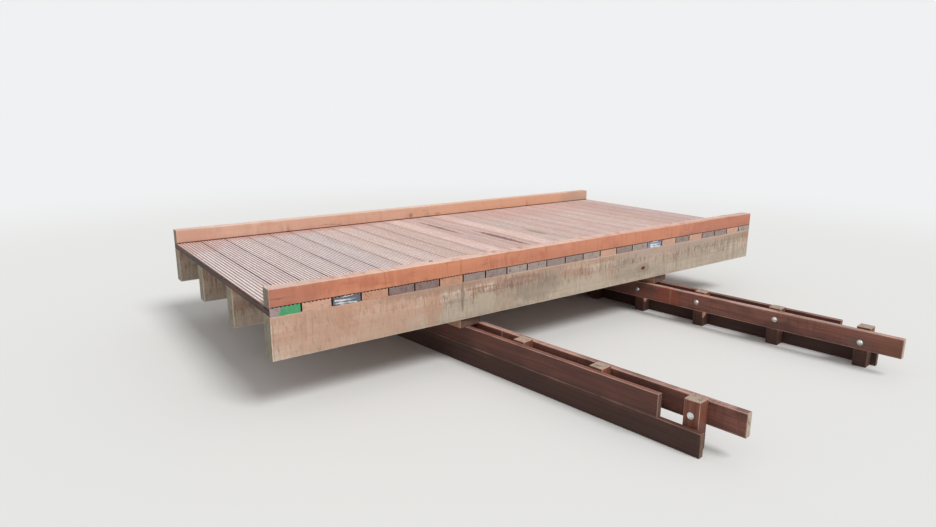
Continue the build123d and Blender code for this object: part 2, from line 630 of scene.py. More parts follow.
@dataclass(frozen=True)
class DeckFinish(TimberFinish):
    """Ribbed decking: pale ridges, darker grooves between them, painted glints, and painted shade in the gaps
    and under the kerbs.
    """

    groove: Colour = srgb(150, 112, 101)
    groove_strength: float = 0.9
    # The grooves darken from the first depth below the ridge tops and are darkest at the second
    darkening_from: float = 0.00075
    darkening_full: float = 0.004
    # Painted shade: on the planks' sides deeper than the joint edge, and on the deck top under and beside the
    # kerbs
    side: Colour = srgb(50, 20, 10)
    gap_shade_strength: float = 0.97
    joint_edge: float = 0.0022
    edge: Colour = srgb(180, 126, 112)
    edge_reach: float = 0.006
    edge_strength: float = 0.45
    side_bevel: float = 0.0008
    # The deck top under the kerbs, and in a margin beside them, gets painted shade, with dirt in the margin
    kerb_reach: float = 0.1
    kerb_shade_and_dirt: float = 0.016
    # Pale painted glints along the grain of the ridges
    painted_glint: Colour = srgb(255, 244, 240)
    painted_glint_strength: float = 0.9

    def with_relief(self, graph: Graph, place: Socket, half_size: Socket, wood: Socket) -> Socket:
        """Darken the grooves, paint shade on the sides in the gaps and under the kerbs, and scatter painted
        glints along the grain.

        Args:
            graph: The material's graph.
            place: The place in the plank.
            half_size: Half the plank's size.
            wood: The colour so far.

        Returns:
            The colour with flecks, grooves and sides.
        """
        outward = graph.vector_math("ABSOLUTE", place)
        from_end, from_side, from_face = graph.split(graph.vector_math("SUBTRACT", half_size, outward))
        top = graph.math("GREATER_THAN", graph.split(place)[2], 0.0)
        painted_glints = graph.fade(graph.noise(place, (40.0, 130.0, 130.0)), 0.57, 0.68)
        below_ridge_tops = graph.fade(from_face, self.darkening_from, self.darkening_full)
        kerb_end = self.kerb_reach + self.kerb_shade_and_dirt
        kerb_shade = graph.inverse(graph.fade(from_end, self.kerb_reach, kerb_end))
        on_edge = graph.inverse(graph.fade(from_side, self.edge_reach / 3, self.edge_reach))
        on_side = graph.inverse(graph.fade(from_side, self.side_bevel, self.side_bevel * 2))
        shaded_in_joint = graph.fade(from_face, self.joint_edge, self.joint_edge * 2)
        # Painted glints scattered along the grain
        wood = graph.lay(wood, self.painted_glint, painted_glints, self.painted_glint_strength)
        # Darker deeper down in the grooves
        wood = graph.lay(wood, self.groove, below_ridge_tops, top, self.groove_strength)
        # Painted shade on the deck top under the kerbs, and shade and dirt in the margin beside them
        wood = graph.lay(wood, self.side, top, kerb_shade, self.gap_shade_strength)
        wood = graph.lay(wood, self.edge, on_edge, top, self.edge_strength)
        # Painted shade on the sides, deeper down in the gaps
        return graph.lay(wood, self.side, on_side, shaded_in_joint, self.gap_shade_strength)


@dataclass(frozen=True)
class EndFinish:
    """How the sawn end of a timber looks: bare, dirty, or with a patch of paint."""

    name: str
    wood: Colour
    ring: Colour
    cloud: Colour
    clouds: float = 0.5
    cloud_size: float = 0.05
    cloud_cover: float = 0.5
    ring_width: float = 0.009
    rings: float = 0.35
    crack: Colour = srgb(56, 44, 38)
    cracks: float = 0.75
    saw: float = 0.2
    speckle: Colour = srgb(206, 196, 188)
    speckles: float = 0.1
    crack_depth: float = 2.0
    saw_depth: float = 0.6
    roughness: float = 0.65
    cloud_roughness: float = 0.15
    shine: float = 0.3
    pith: Triple = (0.0, 0.05, -0.09)
    paint: Colour | None = None
    paint_from: float = -1.0
    paint_to: float = 1.0
    paint_slant: float = 0.0
    paint_cover: float = 0.6
    paint_border: float = 0.006
    paint_wander: float = 0.012
    paint_strength: float = 0.92
    paint_grain: Triple = (1.0, 14.0, 110.0)

    def material(self) -> bpy.types.Material:
        """Build the material.

        Returns:
            A material that reads the timber's attributes.
        """
        made, graph = new_material(self.name)
        place = graph.attribute(PLACE, "Vector")
        own = {"Place": place, "Seed": graph.attribute(SEED, "Fac")}
        grain = graph.effect(end_grain(), own, Pith=self.pith, Ring_width=self.ring_width)
        cloudy = graph.effect(stains(), own, Size=self.cloud_size, Cover=self.cloud_cover)["Mask"]
        wood = graph.lay(self.wood, self.ring, grain["Rings"], self.rings)
        wood = graph.lay(wood, self.cloud, cloudy, self.clouds)
        wood = graph.lay(wood, self.speckle, grain["Speckles"], self.speckles)
        wood = graph.lay(wood, self.crack, grain["Saw"], self.saw)
        wood = graph.lay(wood, self.crack, grain["Cracks"], self.cracks)
        if self.paint:
            wood = self.with_paint(graph, place, wood)
        height = graph.sink((grain["Saw"], self.saw_depth), (grain["Cracks"], self.crack_depth))
        rough = graph.math("MULTIPLY_ADD", cloudy, self.cloud_roughness, self.roughness)
        graph.skin(wood, rough, height, Specular_IOR_Level=self.shine)
        return made

    def with_paint(self, graph: Graph, place: Socket, wood: Socket) -> Socket:
        """Brush a plain patch of paint over part of the end.

        Args:
            graph: The material's graph.
            place: The place in the timber.
            wood: The colour so far.

        Returns:
            The colour with the paint.
        """
        across, up = graph.split(place)[1:]
        leaning = graph.math("MULTIPLY_ADD", up, self.paint_slant, across)
        ragged = graph.math("MULTIPLY_ADD", graph.noise(place, 60.0), self.paint_wander, leaning)
        begins = graph.fade(ragged, self.paint_from, self.paint_from + self.paint_border)
        ends = graph.inverse(graph.fade(ragged, self.paint_to, self.paint_to + self.paint_border))
        brushed = graph.noise(place, self.paint_grain, detail=3.0)
        thick = graph.highest(brushed, self.paint_cover, below=0.05, above=0.05)
        return graph.lay(wood, self.paint, begins, ends, thick, self.paint_strength)


@dataclass(frozen=True)
class SteelFinish:
    """Hot-dip galvanised steel, slightly mottled, with a painted dark reflection where it faces down."""

    name: str
    zinc: Colour
    dull: Colour
    # The painted dark reflection on faces that look down
    painted_dark_reflection: Colour
    painted_dark_reflection_strength: float = 0.85
    mottle_fineness: float = 160.0
    mottle_height: float = 0.3
    mottle_roughness: float = 0.25
    roughness: float = 0.18

    def material(self) -> bpy.types.Material:
        """Build the material.

        Returns:
            A material on object coordinates.
        """
        made, graph = new_material(self.name)
        bridge = graph.node("TexCoord").outputs
        mottle = graph.noise(bridge["Object"], self.mottle_fineness, detail=3.0)
        colour = graph.mix(graph.fade(mottle, 0.35, 0.7), self.zinc, self.dull)
        # Faces that look down are painted darker: a painted dark reflection
        downward = graph.inverse(graph.fade(graph.split(bridge["Normal"])[2], -0.5, 0.2))
        colour = graph.lay(colour, self.painted_dark_reflection, downward, self.painted_dark_reflection_strength)
        rough = graph.math("MULTIPLY_ADD", mottle, self.mottle_roughness, self.roughness)
        graph.skin(colour, rough, graph.times(mottle, self.mottle_height), Metallic=1.0)
        return made


Finish = TimberFinish | EndFinish | SteelFinish


@cache
def material_of(finish: Finish) -> bpy.types.Material:
    """The one material of a finish, built when it is first asked for."""
    return finish.material()


DECKING = DeckFinish(
    name="ribbed_decking",
    wood=srgb(190, 146, 128),
    pale=srgb(210, 172, 156),
    streak=srgb(184, 142, 130),
    bleached_and_lit=srgb(243, 222, 213),
    stain=srgb(210, 192, 194),
    bleach_and_light=0.9,
    streaks=0.3,
    stain_size=0.3,
    stain_cover=0.45,
    stain_strength=0.35,
    saw_cover=0.0,
    pale_edge_strength=0.0,
    crack_cover=0.3,
    shine=0.12,
    spots=(
        Spot((-0.225, 0.5, 0.725), (0.03, 0.42, 0.05), srgb(134, 98, 92), 0.8),
        Spot((-0.02, -0.3, 0.725), (0.04, 0.46, 0.05), srgb(130, 92, 86), 0.8),
        Spot((0.45, -0.26, 0.725), (0.035, 0.22, 0.05), srgb(150, 124, 114), 0.6),
        Spot((1.4, 0.9, 0.725), (1.6, 0.45, 0.05), srgb(210, 160, 150), 0.3),
        Spot((-1.6, 1.16, 0.725), (1.3, 0.2, 0.05), srgb(206, 146, 132), 0.45),
        Spot((-2.55, 0.9, 0.725), (0.3, 0.3, 0.05), srgb(186, 142, 128), 0.4),
        Spot((2.3, -0.1, 0.725), (0.55, 1.4, 0.05), srgb(196, 150, 140), 0.3),
        Spot((-2.62, 0.0, 0.69), (0.003, 2.4, 0.026), srgb(94, 78, 72), 0.85),
        Spot((2.62, 0.0, 0.69), (0.003, 2.4, 0.026), srgb(94, 78, 72), 0.85),
        Spot((-2.62, 0.0, 0.722), (0.003, 2.4, 0.009), srgb(160, 134, 124), 0.65),
        Spot((2.62, 0.0, 0.722), (0.003, 2.4, 0.009), srgb(160, 134, 124), 0.65),
        Spot((-2.62, -0.55, 0.685), (0.003, 0.25, 0.02), srgb(122, 86, 72), 0.6),
        Spot((-2.62, 0.45, 0.69), (0.003, 0.3, 0.03), srgb(76, 74, 68), 0.7),
        Spot((-2.62, -1.0, 0.68), (0.003, 0.12, 0.02), srgb(78, 62, 52), 0.6),
    ),
)

# In the right half of the deck the painted shade in the joints starts deeper down and the band along their
# edges is fainter
LESS_SHADED_DECKING = replace(DECKING, name="less_shaded_decking", joint_edge=0.006, edge_strength=0.2)

KERB_TIMBER = TimberFinish(
    name="near_kerb_timber",
    wood=srgb(207, 133, 100),
    pale=srgb(216, 147, 111),
    streak=srgb(182, 110, 82),
    bleached_and_lit=srgb(230, 202, 188),
    stain=srgb(172, 98, 74),
    bleach_and_light=0.85,
    streaks=0.12,
    saw_cover=0.52,
    saw_spacing=0.028,
    saw_length=0.3,
    saw_colour=srgb(156, 90, 66),
    saw_strength=0.42,
    stain_size=0.08,
    stain_strength=0.75,
    run=srgb(176, 108, 86),
    run_width=0.07,
    run_cover=0.55,
    run_strength=0.5,
    foot_height=0.0055,
    foot=srgb(84, 42, 28),
    drift=srgb(184, 126, 106),
    drift_strength=0.6,
    worn=srgb(238, 212, 190),
    pale_edge_reach=0.007,
    pale_edge_strength=0.6,
    spots=(
        Spot((1.25, -1.25, 0.79), (1.5, 0.05, 0.14), srgb(206, 138, 110), 0.42),
        Spot((-1.175, -1.25, 0.79), (0.004, 0.03, 0.1), srgb(150, 96, 76), 0.6),
        Spot((-1.392, -1.172, 0.845), (0.02, 0.018, 0.02), srgb(74, 50, 42), 1.0),
        Spot((-2.6, -1.25, 0.78), (0.45, 0.05, 0.1), srgb(160, 102, 84), 0.42),
        Spot((-1.93, -1.25, 0.79), (0.09, 0.05, 0.05), srgb(164, 94, 70), 0.35),
        Spot((2.25, -1.25, 0.78), (0.8, 0.05, 0.1), srgb(168, 104, 86), 0.42),
        Spot((2.5, -1.2, 0.845), (0.3, 0.1, 0.004), srgb(196, 172, 160), 0.6),
        Spot((-2.45, -1.2, 0.845), (0.3, 0.1, 0.004), srgb(214, 188, 178), 0.5),
    ),
)

FAR_KERB_TIMBER = replace(
    KERB_TIMBER,
    name="far_kerb_timber",
    wood=srgb(213, 171, 150),
    pale=srgb(222, 185, 163),
    streak=srgb(198, 148, 124),
    stain=srgb(206, 152, 124),
    saw_strength=0.2,
    stain_strength=0.45,
    run=srgb(196, 144, 120),
    run_strength=0.25,
    foot_height=0.0085,
    foot=srgb(76, 38, 26),
    saw_colour=srgb(180, 138, 116),
    drift=srgb(208, 158, 128),
    drift_strength=0.4,
    spots=(
        Spot((-0.159, 1.15, 0.76), (0.03, 0.03, 0.025), srgb(160, 104, 80), 0.7),
        Spot((0.195, 1.15, 0.745), (0.05, 0.03, 0.02), srgb(168, 116, 92), 0.6),
        Spot((1.2, 1.15, 0.78), (1.3, 0.1, 0.15), srgb(217, 160, 124), 0.5),
        Spot((2.5, 1.15, 0.78), (0.4, 0.1, 0.15), srgb(188, 154, 132), 0.75),
        Spot((-2.6, 1.15, 0.78), (0.4, 0.1, 0.15), srgb(204, 156, 136), 0.5),
    ),
)

GIRDER_TIMBER = TimberFinish(
    name="girder_timber",
    wood=srgb(178, 154, 136),
    pale=srgb(210, 191, 173),
    streak=srgb(140, 102, 82),
    bleached_and_lit=srgb(206, 182, 162),
    stain=srgb(168, 122, 98),
    streaks=0.2,
    saw_cover=0.62,
    saw_length=0.06,
    saw_colour=srgb(100, 84, 68),
    saw_strength=0.62,
    stain_size=0.2,
    stain_cover=0.46,
    stain_strength=0.75,
    run=srgb(120, 104, 90),
    run_width=0.022,
    run_cover=0.58,
    run_strength=0.62,
    drift=srgb(150, 142, 126),
    drift_size=0.45,
    drift_strength=0.65,
    crack_cover=0.3,
    knot_radius=0.014,
    knot_spacing=1.1,
    worn=srgb(240, 222, 204),
    pale_edge_reach=0.009,
    pale_edge_strength=0.85,
    spots=(
        Spot((0.0, 0.0, 0.41), (4.0, 4.0, 0.15), srgb(188, 176, 158), 0.5),
        Spot((0.0, 0.0, 0.66), (4.0, 4.0, 0.06), srgb(182, 146, 124), 0.5),
        Spot((-0.42, -1.25, 0.5), (0.3, 0.03, 0.12), srgb(132, 116, 102), 0.45),
        Spot((-0.62, -1.25, 0.6), (0.26, 0.03, 0.05), srgb(138, 96, 80), 0.5),
        Spot((-0.997, -1.25, 0.6), (0.2, 0.03, 0.012), srgb(140, 98, 80), 0.6),
        Spot((-0.86, -1.25, 0.56), (0.16, 0.03, 0.01), srgb(140, 100, 82), 0.5),
        Spot((-1.16, -1.25, 0.54), (0.016, 0.03, 0.14), srgb(112, 100, 86), 0.6),
        Spot((-0.96, -1.25, 0.48), (0.12, 0.03, 0.1), srgb(184, 172, 152), 0.6),
        Spot((-1.42, -1.25, 0.52), (0.09, 0.03, 0.16), srgb(176, 130, 104), 0.5),
        Spot((-2.1, -1.25, 0.54), (0.8, 0.03, 0.22), srgb(196, 150, 126), 0.55),
        Spot((-1.3, -1.25, 0.65), (0.65, 0.03, 0.05), srgb(148, 117, 99), 0.5),
        Spot((1.3, -1.25, 0.64), (0.9, 0.03, 0.06), srgb(184, 166, 154), 0.45),
        Spot((0.85, -1.25, 0.46), (0.32, 0.03, 0.06), srgb(140, 128, 114), 0.4),
        Spot((0.904, -1.25, 0.486), (0.11, 0.03, 0.05), srgb(150, 122, 102), 0.5),
        Spot((0.904, -1.25, 0.486), (0.032, 0.03, 0.018), srgb(74, 50, 38), 1.0),
    ),
)

SILL_TIMBER = TimberFinish(
    name="sill_timber",
    wood=srgb(168, 124, 100),
    pale=srgb(182, 140, 116),
    streak=srgb(134, 94, 74),
    bleached_and_lit=srgb(190, 152, 130),
    stain=srgb(134, 104, 88),
    saw_cover=0.5,
)

WALE_TIMBER = TimberFinish(
    name="wale_timber",
    wood=srgb(126, 80, 70),
    pale=srgb(148, 94, 80),
    streak=srgb(92, 58, 50),
    bleached_and_lit=srgb(206, 168, 154),
    stain=srgb(88, 60, 52),
    bleach_and_light=0.85,
    saw_cover=0.5,
    saw_spacing=0.02,
    saw_length=0.12,
    saw_colour=srgb(84, 54, 46),
    stain_size=0.16,
    stain_cover=0.5,
    stain_strength=0.65,
    drift=srgb(140, 98, 84),
    drift_size=0.5,
    drift_strength=0.5,
    run=srgb(84, 50, 44),
    run_width=0.06,
    run_strength=0.55,
    worn=srgb(222, 176, 160),
    pale_edge_reach=0.009,
    pale_edge_strength=0.7,
    damp_and_shade_level=0.2,
    spots=(
        Spot((1.08, -1.42, 0.22), (0.06, 0.16, 0.1), srgb(158, 80, 62), 0.6),
        Spot((1.31, -3.24, 0.22), (0.1, 0.1, 0.09), srgb(128, 84, 64), 0.6),
        Spot((1.27, -2.9, 0.3), (0.1, 0.3, 0.012), srgb(150, 124, 112), 0.6),
        Spot((1.16, -2.2, 0.3), (0.1, 0.3, 0.012), srgb(206, 176, 166), 0.5),
        Spot((1.28, -3.02, 0.2), (0.1, 0.12, 0.06), srgb(106, 84, 76), 0.5),
    ),
)

# The piles' colours are dark for wet wood, and for painted shade as well
PILE_TIMBER = TimberFinish(
    name="pile_timber",
    wood=srgb(124, 74, 58),
    pale=srgb(144, 88, 68),
    streak=srgb(92, 57, 46),
    bleached_and_lit=srgb(188, 146, 122),
    stain=srgb(98, 64, 54),
    stain_strength=0.6,
    damp_and_shade_level=0.2,
    spots=(
        # Painted patches of light on the near sides of two piles, below the wale
        Spot((1.115, -1.136, 0.125), (0.035, 0.014, 0.035), srgb(214, 160, 140), 0.8),
        Spot((1.193, -1.743, 0.12), (0.035, 0.014, 0.04), srgb(214, 160, 140), 0.8),
    ),
)

# The boards' colours are dark for wet wood, and for painted shade as well
BANK_BOARD_TIMBER = TimberFinish(
    name="bank_board_timber",
    wood=srgb(100, 62, 53),
    pale=srgb(118, 72, 61),
    streak=srgb(74, 48, 42),
    bleached_and_lit=srgb(160, 104, 90),
    stain=srgb(78, 54, 48),
    bleach_and_light=0.7,
    stain_strength=0.6,
    damp_and_shade_level=0.24,
)

KERB_END = EndFinish(
    "kerb_end", srgb(136, 122, 108), srgb(112, 100, 88), srgb(128, 120, 102), ring_width=0.006,
)
GIRDER_END = EndFinish("girder_end", srgb(146, 138, 116), srgb(120, 112, 94), srgb(126, 122, 102))
WALL_END = EndFinish("wall_end", srgb(188, 174, 154), srgb(158, 140, 120), srgb(164, 152, 132))
PILE_HEAD = EndFinish(
    "pile_head", srgb(186, 164, 146), srgb(146, 120, 102), srgb(166, 146, 130), pith=(0.0, 0.0, 0.0),
)
DARK_END = EndFinish("dark_end", srgb(112, 82, 68), srgb(90, 64, 54), srgb(96, 74, 64))

BOLT_STEEL = SteelFinish("bolt_steel", srgb(246, 248, 246), srgb(216, 220, 216), srgb(104, 112, 106))
SCREW_STEEL = SteelFinish("screw_steel", srgb(186, 190, 188), srgb(150, 153, 150), srgb(110, 112, 108))


class PlankEnd(Enum):
    """What the near end of a deck plank looks like."""

    FRESH = EndFinish(
        "plank_end_fresh", srgb(206, 163, 141), srgb(186, 140, 116), srgb(212, 172, 150), cracks=0.4, saw=0.1,
    )
    WARM = EndFinish(
        "plank_end_warm", srgb(196, 146, 120), srgb(174, 122, 98), srgb(204, 156, 128), cracks=0.4, saw=0.1,
    )
    GREY = EndFinish(
        "plank_end_grey", srgb(166, 148, 140), srgb(142, 124, 116), srgb(174, 162, 154), speckles=0.4,
    )
    DUSKY = EndFinish(
        "plank_end_dusky", srgb(150, 131, 123), srgb(126, 107, 100), srgb(160, 146, 140), speckles=0.3,
    )
    MAUVE = EndFinish(
        "plank_end_mauve", srgb(137, 110, 105), srgb(114, 87, 83), srgb(136, 117, 115), speckles=0.25,
    )
    WHITE_PAINT = EndFinish(
        "plank_end_white_paint", srgb(100, 104, 116), srgb(80, 82, 94), srgb(112, 114, 124),
        paint=srgb(222, 222, 222), paint_from=-0.085, paint_to=0.078, paint_cover=0.47,
    )
    BLUE_PAINT = EndFinish(
        "plank_end_blue_paint", srgb(150, 148, 158), srgb(124, 120, 128), srgb(104, 134, 172),
        clouds=0.6, paint=srgb(228, 234, 238), paint_from=-0.06, paint_to=0.085, paint_cover=0.5,
    )
    GREEN_PAINT = EndFinish(
        "plank_end_green_paint", srgb(164, 148, 146), srgb(136, 120, 116), srgb(152, 140, 140),
        paint=srgb(66, 156, 102), paint_from=-0.03, paint_to=0.2, paint_slant=-0.5, paint_cover=0.66,
        paint_grain=(1.0, 90.0, 60.0),
    )


class PlankTone(Enum):
    """How the top of a deck plank differs from the usual one, as a factor on each colour."""

    PLAIN = (1.0, 1.0, 1.0)
    ROSE = (0.98, 0.94, 0.95)
    PEARL = (1.05, 1.1, 1.12)
    # These two tones are painted reflections of the sky on the planks
    LILAC_SKY_REFLECTION = (0.96, 1.07, 1.15)
    BLUSH_SKY_REFLECTION = (0.95, 1.05, 1.14)
    PALE = (1.17, 1.16, 1.17)
    GREY = (0.94, 0.97, 0.98)


@dataclass(frozen=True)
class Extent:
    """The room that a CAD node takes, along axes turned about Z."""

    low: Vector
    high: Vector
    turn: float = 0.0

    @classmethod
    def around(cls, points: list[Vector], turn: float) -> "Extent":
        """The extent of points that are given along the turned axes."""
        corners = [[pick(values) for values in zip(*points)] for pick in (min, max)]
        return cls(Vector(corners[0]), Vector(corners[1]), turn)

    @classmethod
    def of(cls, node: str, turn: float = 0.0) -> "Extent":
        """The extent of a CAD node."""
        return cls.around(points_of(node, turn), turn)

    def along(self, axis: int) -> tuple[Vector, Vector]:
        """The two ends of the middle line along an axis, in the bridge's own axes.

        Args:
            axis: The axis by number.

        Returns:
            The line's start and end.
        """
        start = self.middle
        end = self.middle
        start[axis] = self.low[axis]
        end[axis] = self.high[axis]
        back = Matrix.Rotation(self.turn, 3, "Z")
        return back @ start, back @ end

    @property
    def middle(self) -> Vector:
        """The extent's middle, along the turned axes."""
        return (self.low + self.high) / 2

    @property
    def size(self) -> Vector:
        """The extent's three sides."""
        return self.high - self.low


def points_of(node: str, turn: float) -> list[Vector]:
    """The vertices of a CAD node along axes turned about Z."""
    onto = Matrix.Rotation(-turn, 3, "Z")
    return [onto @ vertex.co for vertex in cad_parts[node].data.vertices]


def pile_extents(side: str, gap: float = 0.2) -> list[Extent]:
    """The extents of a bank's piles, in order from the near side to the far one.

    Args:
        side: The bank, left or right.
        gap: Two vertices further apart than this along the wall are in different piles.

    Returns:
        One extent for each pile, along the wall's own axes.
    """
    points = sorted(points_of(f"piles_{side}", BANK_SKEW), key=lambda point: point.y)
    clusters = [[points[0]]]
    for before, point in zip(points, points[1:]):
        if point.y - before.y > gap:
            clusters.append([])
        clusters[-1].append(point)
    return [Extent.around(cluster, BANK_SKEW) for cluster in clusters]


def round_edges(
    bm: bmesh.types.BMesh, edges: list[bmesh.types.BMEdge], radius: float, segments: int,
) -> None:
    """Bevel edges.

    Args:
        bm: The mesh.
        edges: The edges to bevel.
        radius: How far the bevel reaches on each side.
        segments: How many faces it has across.
    """
    bmesh.ops.bevel(
        bm, geom=edges, offset=radius, offset_type="OFFSET", segments=segments,
        profile=0.5, affect="EDGES", material=-1, clamp_overlap=True,
    )


def cut_through(bm: bmesh.types.BMesh, point: Triple, normal: Triple, **options: bool) -> list:
    """Cut a whole mesh by a plane.

    Args:
        bm: The mesh.
        point: A place on the plane.
        normal: The direction that the plane faces.
        **options: Which side is taken away, if either.

    Returns:
        The vertices and edges along the cut.
    """
    return bmesh.ops.bisect_plane(
        bm, geom=[*bm.verts, *bm.edges, *bm.faces], dist=CUT_TOUCH,
        plane_co=point, plane_no=normal, **options,
    )["geom_cut"]


def mesh_of(bm: bmesh.types.BMesh, name: str) -> bpy.types.Mesh:
    """Turn a finished mesh into mesh data.

    Args:
        bm: The mesh, which is freed.
        name: The name of the data.

    Returns:
        The mesh data.
    """
    mesh = bpy.data.meshes.new(name)
    bm.to_mesh(mesh)
    bm.free()
    return mesh


def put_in_scene(name: str, data: bpy.types.ID) -> bpy.types.Object:
    """Make an object of a mesh, a lamp or a camera and put it in the scene.

    Args:
        name: The object's name.
        data: What the object shows.

    Returns:
        The new object.
    """
    made = bpy.data.objects.new(name, data)
    bpy.context.scene.collection.objects.link(made)
    return made


def hand_over(
    bm: bmesh.types.BMesh, name: str, finishes: list[Finish], nodes: tuple[str, ...] = (),
) -> None:
    """Make a finished mesh a piece that rides on the bridge.

    Args:
        bm: The mesh, in its place.
        name: The piece's name.
        finishes: The finishes of its faces, in the order of their material numbers.
        nodes: The CAD nodes that the piece stands for.
    """
    mesh = mesh_of(bm, name)
    mesh.shade_smooth()
    mesh.set_sharp_from_angle(angle=ROUNDED)
    for finish in finishes:
        mesh.materials.append(material_of(finish))
    piece = put_in_scene(name, mesh)
    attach(piece, "root")
    if nodes:
        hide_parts(*nodes)
    log.info("%s: %d faces", name, len(mesh.polygons))


@dataclass
class Timber:
    """One squared timber, modelled along its own X axis and laid from its start to its end.

    Its own Y and Z axes cross the section. Each vertex keeps its place in the timber, in metres from
    the middle, before the timber is worn and laid, so that grain follows the timber everywhere.
    """

    name: str
    slot: str
    node: str
    start: Vector
    end: Vector
    width: float
    height: float
    faces: TimberFinish
    start_face: EndFinish
    end_face: EndFinish
    seed: int
    up: Vector = field(default_factory=lambda: Vector((0.0, 0.0, 1.0)))
    arris: float = 0.003
    rim: float = 0.001
    station: float = 0.03
    unevenness: float = 0.0006
    wave_fineness: Triple = (4.0, 9.0, 9.0)
    chip_fineness: Triple = (16.0, 40.0, 40.0)
    chip_threshold: float = 0.42
    tone: Triple = (1.0, 1.0, 1.0)

    @property
    def length(self) -> float:
        """The timber's length."""
        return (self.end - self.start).length

    @property
    def half(self) -> Vector:
        """Half the timber's length, width and height."""
        return Vector((self.length, self.width, self.height)) / 2

    def build(self) -> None:
        """Model the timber, lay it in its place and hand it over."""
        bm = bmesh.new()
        bmesh.ops.create_cube(bm, size=1.0)
        bmesh.ops.scale(bm, vec=self.half * 2, verts=bm.verts)
        self.shape(bm)
        self.cut_stations(bm)
        self.mark_ends(bm)
        self.note_places(bm)
        self.wear(bm)
        bmesh.ops.transform(bm, matrix=self.placing(), verts=bm.verts)
        hand_over(bm, self.name, [self.faces, self.start_face, self.end_face], (self.node,))

    def shape(self, bm: bmesh.types.BMesh) -> None:
        """Round the timber's long edges and break the rims of its ends.

        Args:
            bm: The timber's mesh.
        """
        long_edges = [edge for edge in bm.edges if self.is_long(edge)]
        round_edges(bm, long_edges, self.arris, segments=3)
        self.break_rims(bm)

    def break_rims(self, bm: bmesh.types.BMesh) -> None:
        """Take the sharpness off the rims of both ends.

        Args:
            bm: The timber's mesh.
        """
        reach = self.half.x - TOUCH
        rims = [edge for edge in bm.edges if all(abs(vertex.co.x) > reach for vertex in edge.verts)]
        round_edges(bm, rims, self.rim, segments=1)

    def is_long(self, edge: bmesh.types.BMEdge) -> bool:
        """Whether an edge runs along most of the timber."""
        first, second = edge.verts
        return abs(first.co.x - second.co.x) > self.length / 2

    def cut_stations(self, bm: bmesh.types.BMesh) -> None:
        """Cut the long faces into short stretches, which can then be worn.

        Args:
            bm: The timber's mesh.
        """
        edges = [edge for edge in bm.edges if self.is_long(edge)]
        cuts = round(self.length / self.station)
        bmesh.ops.subdivide_edges(bm, edges=edges, cuts=cuts, use_grid_fill=True)

    def mark_ends(self, bm: bmesh.types.BMesh) -> None:
        """Give the two sawn ends their own materials.

        Args:
            bm: The timber's mesh.
        """
        bm.normal_update()
        for face in bm.faces:
            if abs(face.normal.x) > LOOKS_ALONG:
                face.material_index = 2 if face.normal.x > 0 else 1

    def note_places(self, bm: bmesh.types.BMesh) -> None:
        """Write the timber's own coordinates, size, seed and tone to its vertices.

        Args:
            bm: The timber's mesh.
        """
        layers = bm.verts.layers
        place = layers.float_vector.new(PLACE)
        half_size = layers.float_vector.new(HALF_SIZE)
        seed = layers.float.new(SEED)
        tone = layers.float_color.new(TONE)
        own_seed = random.Random(self.seed).random()
        for vertex in bm.verts:
            vertex[place] = vertex.co
            vertex[half_size] = self.half
            vertex[seed] = own_seed
            vertex[tone] = (*self.tone, 1.0)

    def wear(self, bm: bmesh.types.BMesh) -> None:
        """Make the faces a little uneven, always inwards, and nibble at the edges.

        Args:
            bm: The timber's mesh.
        """
        half = self.half
        offset = Vector((self.seed * 3.7, self.seed * 1.3, 0.0))
        for vertex in bm.verts:
            y, z = vertex.co.yz
            wave = noise.noise(vertex.co * Vector(self.wave_fineness) + offset)
            chip = noise.noise(vertex.co * Vector(self.chip_fineness) + offset) - self.chip_threshold
            depth = max(0.0, self.unevenness * (0.5 + wave))
            on_side = abs(y) > half.y - self.arris - TOUCH
            on_flat = abs(z) > half.z - self.arris - TOUCH
            if on_side and on_flat:
                depth += max(0.0, chip) * self.arris * 2
            if on_side:
                vertex.co.y -= math.copysign(depth, y)
            if on_flat:
                vertex.co.z -= math.copysign(depth, z)

    def placing(self) -> Matrix:
        """Turn and move the timber from its own axes to its place.

        Returns:
            The matrix that does it.
        """
        along = (self.end - self.start).normalized()
        across = self.up.cross(along)
        turned = Matrix((along, across, self.up)).transposed()
        return Matrix.Translation((self.start + self.end) / 2) @ turned.to_4x4()


